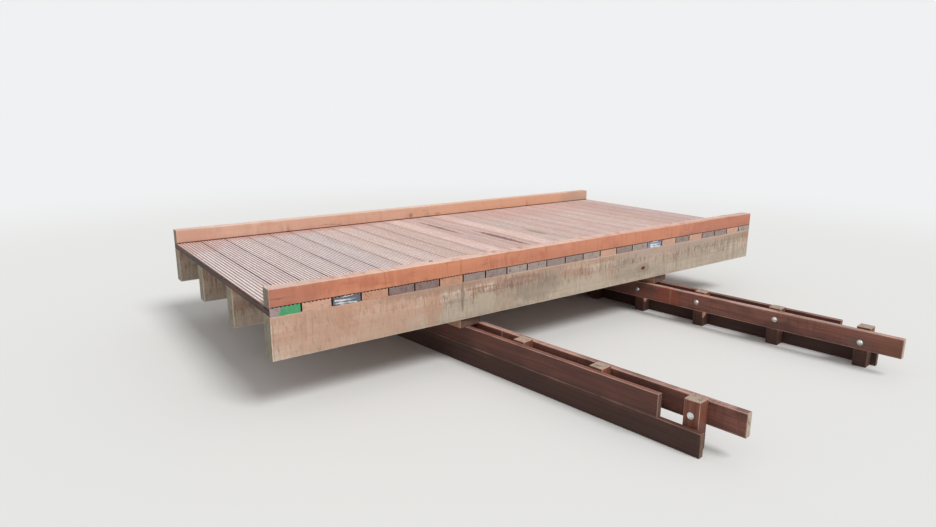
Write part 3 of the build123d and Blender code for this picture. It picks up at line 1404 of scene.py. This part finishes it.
@dataclass
class RibbedPlank(Timber):
    """A deck plank whose top is planed into ridges that run along it."""

    arris: float = 0.002
    rim: float = 0.0006
    station: float = 0.1
    unevenness: float = 0.0004
    ridge_count: int = 8
    ridge_pitch: float = 0.0266
    ridge_edge: float = 0.0009
    groove_radius: float = 0.007
    groove_depth: float = 0.005
    groove_facets: int = 6

    def shape(self, bm: bmesh.types.BMesh) -> None:
        """Plane the grooves, then round the ridges and the plank's own edges.

        Args:
            bm: The plank's mesh.
        """
        middle = (self.ridge_count - 2) / 2
        for index in range(self.ridge_count - 1):
            self.plane_groove(bm, (index - middle) * self.ridge_pitch)
        bmesh.ops.dissolve_limit(bm, angle_limit=FLAT, verts=bm.verts, edges=bm.edges)
        bm.normal_update()
        long_edges = [edge for edge in bm.edges if self.is_long(edge)]
        side = self.half.y - TOUCH
        top = self.half.z - TOUCH
        corners = [edge for edge in long_edges if abs(edge.verts[0].co.y) > side]
        crests = [edge for edge in long_edges if edge not in corners and edge.verts[0].co.z > top]
        round_edges(bm, corners, self.arris, segments=1)
        crests = [edge for edge in crests if edge.is_valid]
        round_edges(bm, crests, self.ridge_edge, segments=2)
        self.break_rims(bm)

    def plane_groove(self, bm: bmesh.types.BMesh, centre: float) -> None:
        """Plane one groove with a round bottom along the top.

        Args:
            bm: The plank's mesh.
            centre: The place of the groove's middle line across the plank.
        """
        lift = self.groove_radius - self.groove_depth
        opening = math.acos(lift / self.groove_radius)
        for step in range(self.groove_facets + 1):
            angle = opening * (2 * step / self.groove_facets - 1)
            line = (0.0, centre + self.groove_radius * math.sin(angle), 0.0)
            cut_through(bm, line, (0.0, 1.0, 0.0))
        reach = self.groove_radius * math.sin(opening) - TOUCH
        for vertex in bm.verts:
            across = abs(vertex.co.y - centre)
            if vertex.co.z > self.half.z - TOUCH and across < reach:
                vertex.co.z -= math.sqrt(self.groove_radius**2 - across**2) - lift


@dataclass
class Deck:
    """The ribbed planks across the bridge, from its left end to its right."""

    near_ends: tuple[PlankEnd, ...] = (
        PlankEnd.GREEN_PAINT, PlankEnd.FRESH, PlankEnd.WHITE_PAINT, PlankEnd.WARM, PlankEnd.MAUVE,
        PlankEnd.MAUVE, PlankEnd.WARM, PlankEnd.DUSKY, PlankEnd.DUSKY, PlankEnd.GREY,
        PlankEnd.GREY, PlankEnd.DUSKY, PlankEnd.DUSKY, PlankEnd.GREY, PlankEnd.FRESH,
        PlankEnd.DUSKY, PlankEnd.GREY, PlankEnd.BLUE_PAINT, PlankEnd.FRESH, PlankEnd.DUSKY,
        PlankEnd.FRESH, PlankEnd.DUSKY, PlankEnd.DUSKY, PlankEnd.FRESH, PlankEnd.GREY,
    )
    tones: tuple[PlankTone, ...] = (
        PlankTone.LILAC_SKY_REFLECTION, PlankTone.BLUSH_SKY_REFLECTION, PlankTone.LILAC_SKY_REFLECTION, PlankTone.LILAC_SKY_REFLECTION, PlankTone.LILAC_SKY_REFLECTION,
        PlankTone.LILAC_SKY_REFLECTION, PlankTone.PEARL, PlankTone.PEARL, PlankTone.PLAIN, PlankTone.PLAIN,
        PlankTone.PALE, PlankTone.ROSE, PlankTone.ROSE, PlankTone.PALE, PlankTone.GREY,
        PlankTone.PLAIN, PlankTone.ROSE, PlankTone.PLAIN, PlankTone.ROSE, PlankTone.PLAIN,
        PlankTone.PLAIN, PlankTone.PLAIN, PlankTone.GREY, PlankTone.GREY, PlankTone.LILAC_SKY_REFLECTION,
    )
    far_ends: tuple[PlankEnd, ...] = (PlankEnd.GREY, PlankEnd.FRESH, PlankEnd.MAUVE, PlankEnd.DUSKY)
    first_less_shaded: int = 12
    end_setback: float = 0.002
    seed: int = 25

    @staticmethod
    def node(number: int) -> str:
        """The CAD node of a plank, counted from 1 at the left end."""
        return f"deck_plank_{number:02d}"

    def build(self) -> None:
        """Lay the planks, their ends not quite in line."""
        chance = random.Random(self.seed)
        for number, (near_end, tone) in enumerate(zip(self.near_ends, self.tones), start=1):
            extent = Extent.of(self.node(number))
            near, far = extent.along(Y)
            faces = DECKING if number < self.first_less_shaded else LESS_SHADED_DECKING
            near.y += chance.uniform(0, self.end_setback)
            far.y -= chance.uniform(0, self.end_setback)
            RibbedPlank(
                name=f"ribbed_plank_{number:02d}", slot="deck_plank", node=self.node(number),
                start=far, end=near, width=extent.size.x, height=extent.size.z, faces=faces,
                start_face=chance.choice(self.far_ends).value, end_face=near_end.value,
                seed=number, tone=tone.value,
            ).build()


@dataclass
class LongTimbers:
    """The kerbs on the deck and the girders under it, all along the bridge."""

    girder_count: int = 4
    kerb_seed: int = 101
    girder_seed: int = 110

    def build(self) -> None:
        """Make both kerbs and the four girders."""
        self.lay("kerb_near", "kerb", KERB_TIMBER, KERB_END, self.kerb_seed)
        self.lay("kerb_far", "kerb", FAR_KERB_TIMBER, KERB_END, self.kerb_seed + 1)
        for number in range(1, self.girder_count + 1):
            self.lay(f"girder_{number}", "girder", GIRDER_TIMBER, GIRDER_END, self.girder_seed + number)

    def lay(self, node: str, slot: str, faces: TimberFinish, ends: EndFinish, seed: int) -> None:
        """Make one timber in place of its CAD node.

        Args:
            node: The CAD node.
            slot: A material slot's name, which is not used.
            faces: The finish of the long faces.
            ends: The finish of both ends.
            seed: What sets its grain and wear apart from the others'.
        """
        extent = Extent.of(node)
        start, end = extent.along(X)
        Timber(
            name=f"{node}_timber", slot=slot, node=node, start=start, end=end, width=extent.size.y,
            height=extent.size.z, faces=faces, start_face=ends, end_face=ends, seed=seed,
        ).build()


@dataclass
class BankWall:
    """One bank's wall: wales in front, piles behind them, boards behind the piles and a sill on top."""

    side: str
    seed: int
    pile_seed: int

    def build(self) -> None:
        """Make every timber of the wall."""
        kinds = [(f"bearing_sill_{self.side}", "sill", SILL_TIMBER, DARK_END)]
        for part in ("near", "middle", "far"):
            kinds.append((f"wale_{self.side}_{part}", "wale", WALE_TIMBER, WALL_END))
        for level in ("lower", "upper"):
            kinds.append((f"bank_board_{self.side}_{level}", "bank_board", BANK_BOARD_TIMBER, DARK_END))
        for number, (node, slot, faces, ends) in enumerate(kinds):
            extent = Extent.of(node, BANK_SKEW)
            near, far = extent.along(Y)
            Timber(
                name=f"{node}_timber", slot=slot, node=node, start=far, end=near, width=extent.size.x,
                height=extent.size.z, faces=faces, start_face=ends, end_face=ends, seed=self.seed + number,
            ).build()
        for number, extent in enumerate(pile_extents(self.side), start=1):
            self.drive_pile(number, extent)

    def drive_pile(self, number: int, extent: Extent) -> None:
        """Make one pile, its own X axis pointing up.

        Args:
            number: The pile's number, counted from the near side.
            extent: The room that it takes.
        """
        foot, head = extent.along(Z)
        Timber(
            name=f"pile_{self.side}_{number:02d}", slot="pile", node=f"piles_{self.side}",
            start=foot, end=head, width=extent.size.y, height=extent.size.x, faces=PILE_TIMBER,
            start_face=DARK_END, end_face=PILE_HEAD, seed=self.pile_seed + number,
            up=Vector((math.cos(BANK_SKEW), math.sin(BANK_SKEW), 0.0)), arris=0.004,
        ).build()


class Fasteners:
    """What the bolts and the screws share: single parts are set into one mesh and handed over."""

    def disc(
        self, radius: float, height: float, segments: int = 24, taper: float = 1.0,
    ) -> bmesh.types.BMesh:
        """Make a low round or six-sided part that stands on the XY plane.

        Args:
            radius: The radius at the bottom.
            height: The height.
            segments: How many sides it has.
            taper: The radius at the top, as a share of the one at the bottom.

        Returns:
            The part.
        """
        part = bmesh.new()
        bmesh.ops.create_cone(
            part, cap_ends=True, segments=segments, radius1=radius, radius2=radius * taper,
            depth=height, matrix=Matrix.Translation((0.0, 0.0, height / 2)),
        )
        return part

    def set_in(self, bm: bmesh.types.BMesh, part: bmesh.types.BMesh, place: Matrix) -> None:
        """Add a finished part to the common mesh.

        Args:
            bm: The common mesh.
            part: The part, which is freed.
            place: The matrix that moves it to its place.
        """
        bmesh.ops.transform(part, matrix=place, verts=part.verts)
        spare = mesh_of(part, "part")
        bm.from_mesh(spare)
        bpy.data.meshes.remove(spare)


@dataclass
class WallBolts(Fasteners):
    """The bolts of one bank's wales: domed heads in front, and nuts where a pile's back is bare."""

    side: str
    seed: int
    head_radius: float = 0.018
    head_rise: float = 0.011
    washer_radius: float = 0.021
    washer_thickness: float = 0.0015
    nut_radius: float = 0.0165
    nut_height: float = 0.013
    nut_edge: float = 0.0013
    shank_radius: float = 0.008
    shank_rise: float = 0.022
    shank_taper: float = 0.8
    usual_drop: float = 0.074
    scatter: float = 0.012
    # Where the first bolts from the near side are: off the pile's middle, and below the wale's top
    near_places: tuple[tuple[float, float], ...] = ()

    def build(self) -> None:
        """Put one bolt through the wale and each pile."""
        chance = random.Random(self.seed)
        wale = Extent.of(f"wale_{self.side}_middle", BANK_SKEW)
        back_of_wale = Matrix.Rotation(BANK_SKEW, 4, "Z")
        inward = 1 if self.side == "left" else -1
        facing = Matrix.Rotation(inward * math.pi / 2, 4, "Y")
        piles = pile_extents(self.side)
        bm = bmesh.new()
        for number, pile in enumerate(piles):
            shift = chance.uniform(-self.scatter, self.scatter)
            drop = self.usual_drop + chance.uniform(-self.scatter, self.scatter)
            if number < len(self.near_places):
                shift, drop = self.near_places[number]
            along = pile.middle.y + shift
            level = wale.high.z - drop
            front, back = (wale.high.x, pile.low.x) if inward > 0 else (wale.low.x, pile.high.x)
            place = back_of_wale @ Matrix.Translation((front, along, level)) @ facing
            self.set_in(bm, self.washer(), place)
            self.set_in(bm, self.dome(), place)
            if number in (0, len(piles) - 1):
                turned = Matrix.Rotation(-inward * math.pi / 2, 4, "Y")
                self.set_nut(bm, back_of_wale @ Matrix.Translation((back, along, level)) @ turned)
        hand_over(bm, f"wale_bolts_{self.side}", [BOLT_STEEL])

    def washer(self) -> bmesh.types.BMesh:
        """The washer under a head or a nut."""
        return self.disc(self.washer_radius, self.washer_thickness)

    def dome(self) -> bmesh.types.BMesh:
        """Make a domed head, closed flat at the bottom.

        Returns:
            The head.
        """
        part = bmesh.new()
        bmesh.ops.create_uvsphere(part, u_segments=24, v_segments=12, radius=self.head_radius)
        bmesh.ops.scale(part, vec=(1.0, 1.0, self.head_rise / self.head_radius), verts=part.verts)
        cut = cut_through(part, (0.0, 0.0, 0.0), (0.0, 0.0, 1.0), clear_inner=True)
        rim = [edge for edge in cut if isinstance(edge, bmesh.types.BMEdge)]
        bmesh.ops.edgeloop_fill(part, edges=rim)
        bmesh.ops.recalc_face_normals(part, faces=part.faces)
        return part

    def set_nut(self, bm: bmesh.types.BMesh, place: Matrix) -> None:
        """Set a washer, a nut and the bolt's end on the back of a pile.

        Args:
            bm: The bolts' mesh.
            place: The matrix of the place, its Z axis pointing out of the pile.
        """
        nut = self.disc(self.nut_radius, self.nut_height, segments=6)
        rims = [edge for edge in nut.edges if abs(edge.verts[0].co.z - edge.verts[1].co.z) < TOUCH]
        round_edges(nut, rims, self.nut_edge, segments=1)
        shank = self.disc(self.shank_radius, self.shank_rise, segments=16, taper=self.shank_taper)
        for part in (self.washer(), nut, shank):
            self.set_in(bm, part, place)


@dataclass
class DeckScrews(Fasteners):
    """Two screws in each plank over each inner girder. The outer rows are hidden under the kerbs."""

    plank_count: int = 25
    girders: tuple[str, ...] = ("girder_2", "girder_3")
    reach: float = 0.0665
    scatter: float = 0.008
    radius: float = 0.0058
    height: float = 0.0022
    taper: float = 0.85
    rim: float = 0.4
    proud: float = 0.0005
    recess: float = 0.0011
    seed: int = 7

    def build(self) -> None:
        """Drive every screw into a ridge of its plank."""
        chance = random.Random(self.seed)
        bm = bmesh.new()
        for number in range(1, self.plank_count + 1):
            plank = Extent.of(Deck.node(number))
            for girder in self.girders:
                line = Extent.of(girder).middle.y
                for side in (-1, 1):
                    across = plank.middle.x + side * self.reach
                    along = line + chance.uniform(-self.scatter, self.scatter)
                    foot = Matrix.Translation((across, along, plank.high.z + self.proud - self.height))
                    self.set_in(bm, self.head(), foot)
        hand_over(bm, "deck_screws", [SCREW_STEEL])

    def head(self) -> bmesh.types.BMesh:
        """Make one flat head with the hollow that turns it.

        Returns:
            The head.
        """
        part = self.disc(self.radius, self.height, segments=10, taper=self.taper)
        part.normal_update()
        caps = [face for face in part.faces if face.normal.z > LOOKS_ALONG]
        bmesh.ops.inset_region(part, faces=caps, thickness=self.radius * self.rim)
        hollow = [vertex for face in caps for vertex in face.verts]
        bmesh.ops.translate(part, vec=(0, 0, -self.recess), verts=hollow)
        return part


@dataclass
class Studio:
    """A plain pale floor that fades into a pale background, under soft light."""

    floor_radius: float = 30.0
    floor_level: float = -0.001
    fade_from: float = 5.0
    fade_to: float = 12.0
    floor_colour: Colour = srgb(226, 226, 224)
    backdrop_colour: Colour = srgb(240, 241, 242)
    sky_strength: float = 0.55
    lamp_strength: float = 2.0
    lamp_softness: float = math.radians(24)
    lamp_height: float = math.radians(52)
    lamp_azimuth: float = math.radians(12)

    def build(self) -> None:
        """Lay the floor, light the sky and hang the lamp."""
        bm = bmesh.new()
        level = Matrix.Translation((0.0, 0.0, self.floor_level))
        bmesh.ops.create_circle(bm, cap_ends=True, segments=128, radius=self.floor_radius, matrix=level)
        mesh = mesh_of(bm, "studio_floor")
        mesh.materials.append(self.floor_material())
        floor = put_in_scene("studio_floor", mesh)
        self.light_sky()
        self.hang_lamp()

    def seen(self, graph: Graph) -> Socket:
        """Tell the rays that show the background: from the camera, or off metal and glass.

        Args:
            graph: The graph of the floor or the sky.

        Returns:
            1 for these rays, and 0 for all others.
        """
        path = graph.node("LightPath").outputs
        shown = graph.math("MAXIMUM", path["Is Camera Ray"], path["Is Glossy Ray"])
        return graph.math("MAXIMUM", shown, path["Is Transmission Ray"])

    def floor_material(self) -> bpy.types.Material:
        """Build the floor's material.

        Returns:
            A material that turns into the background further out.
        """
        made, graph = new_material("studio_floor")
        distance = graph.length(graph.node("TexCoord").outputs["Object"])
        far_out = graph.times(graph.fade(distance, self.fade_from, self.fade_to), self.seen(graph))
        floor = graph.node("BsdfDiffuse", {"Color": self.floor_colour})
        glow = graph.node("Emission", {"Color": self.backdrop_colour, "Strength": 1.0})
        mixed = graph.node("MixShader", {0: far_out, 1: floor.outputs[0], 2: glow.outputs[0]})
        graph.node("OutputMaterial", {"Surface": mixed.outputs[0]})
        return made

    def light_sky(self) -> None:
        """Even light from all round, with the background's own colour where it is seen."""
        world = bpy.data.worlds.new("studio_sky")
        world.use_nodes = True
        graph = Graph(world.node_tree)
        light = graph.node("Background", {"Color": (1.0, 1.0, 1.0, 1.0), "Strength": self.sky_strength})
        shown = graph.node("Background", {"Color": self.backdrop_colour, "Strength": 1.0})
        mixed = graph.node("MixShader", {0: self.seen(graph), 1: light.outputs[0], 2: shown.outputs[0]})
        graph.node("OutputWorld", {"Surface": mixed.outputs[0]})
        bpy.context.scene.world = world

    def hang_lamp(self) -> None:
        """One large soft lamp above the near side, a little to the right."""
        lamp = bpy.data.lights.new("studio_lamp", "SUN")
        lamp.energy = self.lamp_strength
        lamp.angle = self.lamp_softness
        side = math.sin(self.lamp_azimuth)
        front = -math.cos(self.lamp_azimuth)
        towards = Vector((side, front, math.tan(self.lamp_height)))
        hung = put_in_scene("studio_lamp", lamp)
        hung.rotation_mode = "QUATERNION"
        hung.rotation_quaternion = towards.to_track_quat("Z", "Y")


@dataclass
class Viewpoint:
    """The photograph's camera, worked out from the straight edges of the deck, kerbs and girder."""

    place: Triple = (-3.8881, -5.0741, 1.9314)
    yaw: float = 0.62804
    pitch: float = 0.23408
    roll: float = 0.00404
    focal_pixels: float = 653.0
    image_width: int = 936
    sensor_width: float = 36.0
    sight: float = 200.0

    def build(self) -> None:
        """Set up the camera and make it the scene's own."""
        level = Vector((math.cos(self.yaw), -math.sin(self.yaw), 0.0))
        ahead = Vector((math.sin(self.yaw), math.cos(self.yaw), -math.tan(self.pitch))).normalized()
        upright = level.cross(ahead)
        right = level * math.cos(self.roll) + upright * math.sin(self.roll)
        up = upright * math.cos(self.roll) - level * math.sin(self.roll)
        data = bpy.data.cameras.new("viewpoint")
        data.sensor_width = self.sensor_width
        data.lens = self.focal_pixels / self.image_width * self.sensor_width
        data.clip_end = self.sight
        turned = Matrix((right, up, -ahead)).transposed().to_4x4()
        camera = put_in_scene("viewpoint", data)
        camera.matrix_world = Matrix.Translation(self.place) @ turned
        bpy.context.scene.camera = camera


def main() -> None:
    """Build the bridge piece by piece, then the studio around it."""
    logging.basicConfig(level=logging.INFO, format="%(message)s")
    bpy.context.scene.view_settings.view_transform = "Standard"
    Viewpoint().build()
    Deck().build()
    LongTimbers().build()
    BankWall("left", seed=201, pile_seed=250).build()
    BankWall("right", seed=301, pile_seed=350).build()
    WallBolts("left", seed=5).build()
    seen_bolts = ((0.0, 0.094), (-0.026, 0.066), (0.0, 0.07), (0.002, 0.075))
    WallBolts("right", seed=6, near_places=seen_bolts).build()
    DeckScrews().build()
    Studio().build()


if __name__ == "__main__":
    main()
